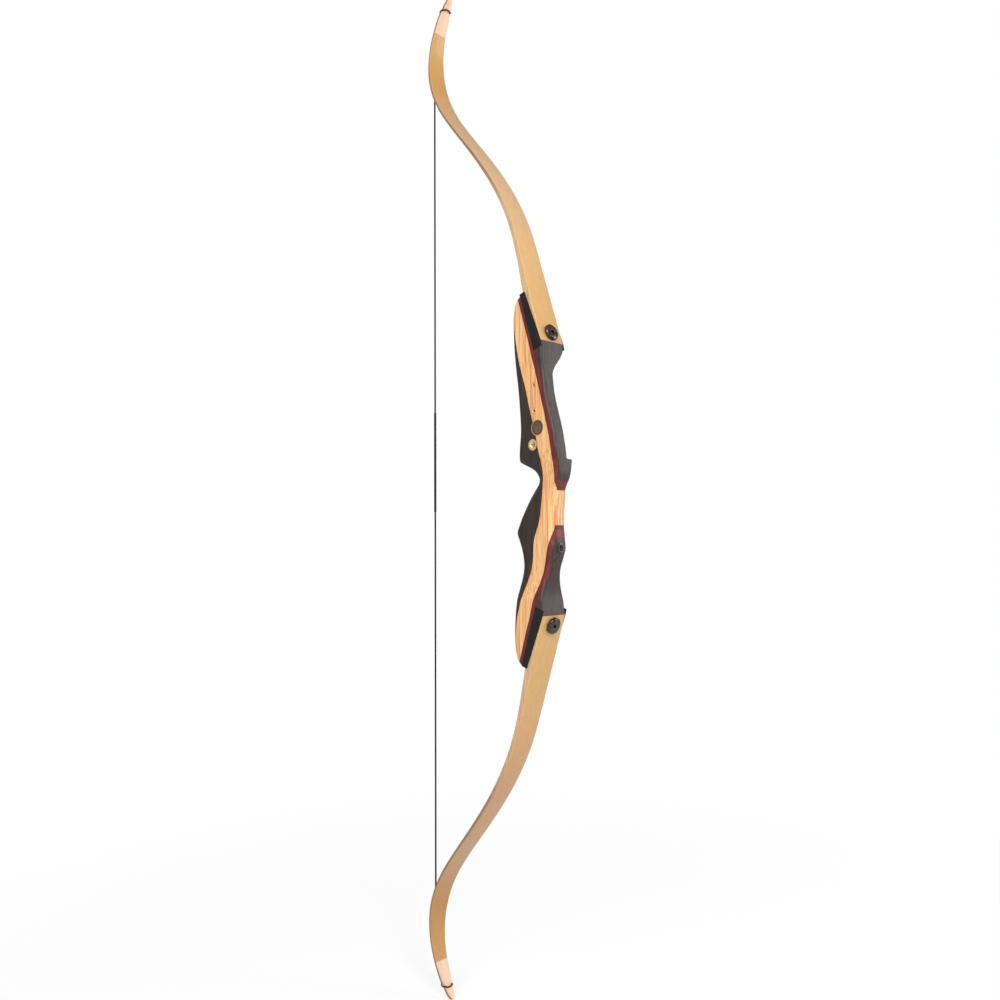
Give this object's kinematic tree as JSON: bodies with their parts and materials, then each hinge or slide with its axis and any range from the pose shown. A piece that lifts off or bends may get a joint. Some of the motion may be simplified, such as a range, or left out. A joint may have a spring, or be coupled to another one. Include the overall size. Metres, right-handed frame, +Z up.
{
  "type": "recurve bow",
  "caption": "Strung right-handed take-down recurve bow: laminated wooden riser with sight window, two bolted glass-faced limbs in side-walled pockets, and a served bowstring.",
  "frame": {"origin": "the deepest point of the grip's throat, on the bow's centre plane, where the bow hand's web rests", "axes": "+X towards the target, +Z up along the bow, +Y to the archer's left, the side of the arrow shelf"},
  "size_m": [0.2569, 0.0458, 1.4486],
  "materials": {
    "riser_dark_wood": "dark stained hardwood, satin lacquer",
    "riser_light_wood": "pale hardwood with open grain, satin lacquer",
    "dark_veneer": "dark veneer, satin lacquer",
    "red_veneer": "dyed red laminate, satin lacquer",
    "riser_front_wood": "grey-brown striped hardwood, satin lacquer",
    "pocket_plastic": "moulded, matt",
    "brass": "turned",
    "steel": "ground",
    "black_steel": "blackened",
    "gunmetal": "gunmetal, semi-gloss",
    "inlay": "plain dark disc, satin",
    "limb_wood": "pale laminated wood under clear coat",
    "limb_glass": "clear glass laminate over pale wood, satin",
    "tip_overlay": "cream laminate, satin",
    "bowstring": "waxed twisted strands",
    "serving_thread": "tightly wound serving thread"
  },
  "bodies": {
    "riser": {"riser_belly_block": "riser_dark_wood", "riser_core": "riser_light_wood", "riser_upper_dark_veneer": "dark_veneer", "riser_upper_red_veneer": "red_veneer", "riser_upper_front_block": "riser_front_wood", "riser_lower_dark_veneer": "dark_veneer", "riser_lower_red_veneer": "red_veneer", "riser_lower_front_block": "riser_front_wood", "upper_limb_pocket": "pocket_plastic", "lower_limb_pocket": "pocket_plastic", "upper_bolt_insert": "brass", "lower_bolt_insert": "brass", "upper_locating_pins": "steel", "lower_locating_pins": "steel", "upper_bolt_washer": "black_steel", "lower_bolt_washer": "black_steel", "sight_bushings": "brass", "plunger_bushing": "brass", "stabilizer_bushing": "black_steel", "riser_inlay": "inlay"},
    "upper_limb": {"upper_limb_core": "limb_wood", "upper_limb_back_glass": "limb_glass", "upper_limb_belly_glass": "limb_glass", "upper_limb_wedge": "limb_wood", "upper_tip_overlay": "tip_overlay"},
    "lower_limb": {"lower_limb_core": "limb_wood", "lower_limb_back_glass": "limb_glass", "lower_limb_belly_glass": "limb_glass", "lower_limb_wedge": "limb_wood", "lower_tip_overlay": "tip_overlay"},
    "upper_string": {"bowstring_upper_half": "bowstring", "upper_end_loop": "serving_thread", "centre_serving_upper": "serving_thread"},
    "lower_string": {"bowstring_lower_half": "bowstring", "lower_end_loop": "serving_thread", "centre_serving_lower": "serving_thread"},
    "upper_bolt": {"upper_limb_bolt": "gunmetal"},
    "lower_bolt": {"lower_limb_bolt": "gunmetal"}
  },
  "joints": [
    {"name": "upper_limb_flex", "type": "hinge", "parent": "riser", "child": "upper_limb", "pos_m": [-0.0409, 0, 0.3485], "axis": [0, -1, 0], "range_deg": [0, 23.5], "stiffness_Nm_per_rad": 30, "deforming": ["upper_limb_core", "upper_limb_back_glass", "upper_limb_belly_glass", "upper_limb_wedge"]},
    {"name": "lower_limb_flex", "type": "hinge", "parent": "riser", "child": "lower_limb", "pos_m": [-0.0409, 0, -0.3435], "axis": [0, 1, 0], "range_deg": [0, 23.5], "stiffness_Nm_per_rad": 30, "deforming": ["lower_limb_core", "lower_limb_back_glass", "lower_limb_belly_glass", "lower_limb_wedge"]},
    {"name": "upper_string_swing", "type": "hinge", "parent": "upper_limb", "child": "upper_string", "pos_m": [-0.1898, 0, 0.7114], "axis": [0, 1, 0], "range_deg": [0, 52.1], "deforming": ["bowstring_upper_half", "upper_end_loop", "centre_serving_upper"]},
    {"name": "lower_string_swing", "type": "hinge", "parent": "lower_limb", "child": "lower_string", "pos_m": [-0.1898, 0, -0.7064], "axis": [0, -1, 0], "range_deg": [0, 49.4], "deforming": ["bowstring_lower_half", "lower_end_loop", "centre_serving_lower"]},
    {"name": "upper_bolt_turn", "type": "hinge", "parent": "riser", "child": "upper_bolt", "pos_m": [0.01349, 0, 0.1909], "axis": [0.9537, 0, 0.3007], "continuous": true},
    {"name": "lower_bolt_turn", "type": "hinge", "parent": "riser", "child": "lower_bolt", "pos_m": [0.01349, 0, -0.1859], "axis": [0.9537, 0, -0.3007], "continuous": true}
  ],
  "couplings": [
    {"joint": "lower_limb_flex", "follows": "upper_limb_flex", "ratio": 1},
    {"joint": "upper_string_swing", "follows": "upper_limb_flex", "ratio": 2.2166},
    {"joint": "lower_string_swing", "follows": "upper_limb_flex", "ratio": 2.0996}
  ]
}
